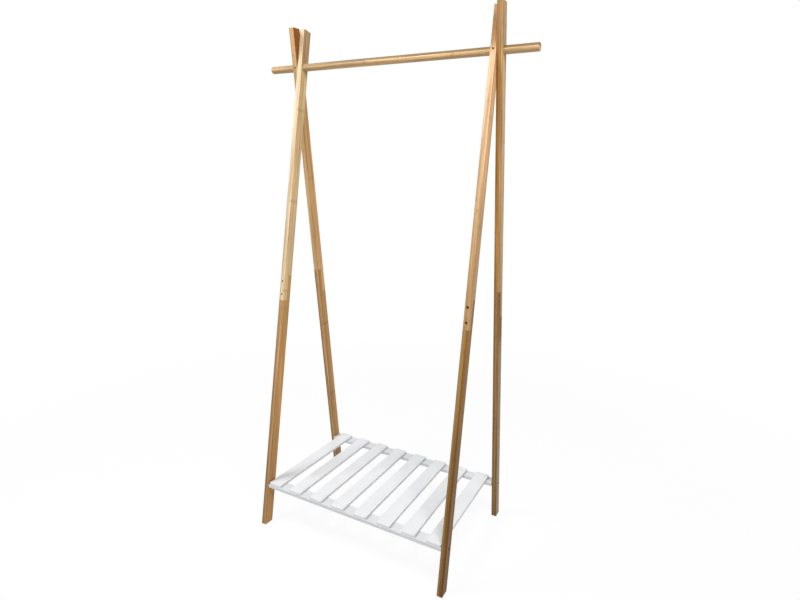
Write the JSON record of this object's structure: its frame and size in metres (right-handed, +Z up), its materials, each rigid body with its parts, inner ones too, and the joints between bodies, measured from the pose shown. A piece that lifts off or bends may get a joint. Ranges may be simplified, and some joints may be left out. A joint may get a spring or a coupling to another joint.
{
  "type": "coat stand",
  "caption": "Bamboo clothes stand: crossed legs at both sides carry a round hanging rail, and a white slatted shelf ties the feet together below.",
  "frame": {"origin": "on the floor, midway between the four feet", "axes": "+X along the hanging rail to the right of someone who faces the stand, +Y to the back, +Z up"},
  "size_m": [0.8998, 0.4122, 1.5962],
  "materials": {
    "bamboo": "strip-laminated bamboo under clear satin lacquer",
    "white_paint": "white satin paint on board",
    "black_steel": "black coated socket screws",
    "steel": "yellow zinc plated"
  },
  "bodies": {
    "root": {"front_left_upper_leg": "bamboo", "rear_left_upper_leg": "bamboo", "front_right_upper_leg": "bamboo", "rear_right_upper_leg": "bamboo", "front_left_lower_leg": "bamboo", "rear_left_lower_leg": "bamboo", "front_right_lower_leg": "bamboo", "rear_right_lower_leg": "bamboo", "hanging_rail": "bamboo", "shelf_front_rail": "white_paint", "shelf_rear_rail": "white_paint", "shelf_slat_1": "white_paint", "shelf_slat_2": "white_paint", "shelf_slat_3": "white_paint", "shelf_slat_4": "white_paint", "shelf_slat_5": "white_paint", "shelf_slat_6": "white_paint", "shelf_slat_7": "white_paint", "shelf_slat_8": "white_paint", "lap_bolts": "black_steel", "lap_inserts": "steel", "rail_lock_screws": "black_steel", "shelf_screws": "black_steel", "slat_screws": "steel"}
  },
  "joints": []
}
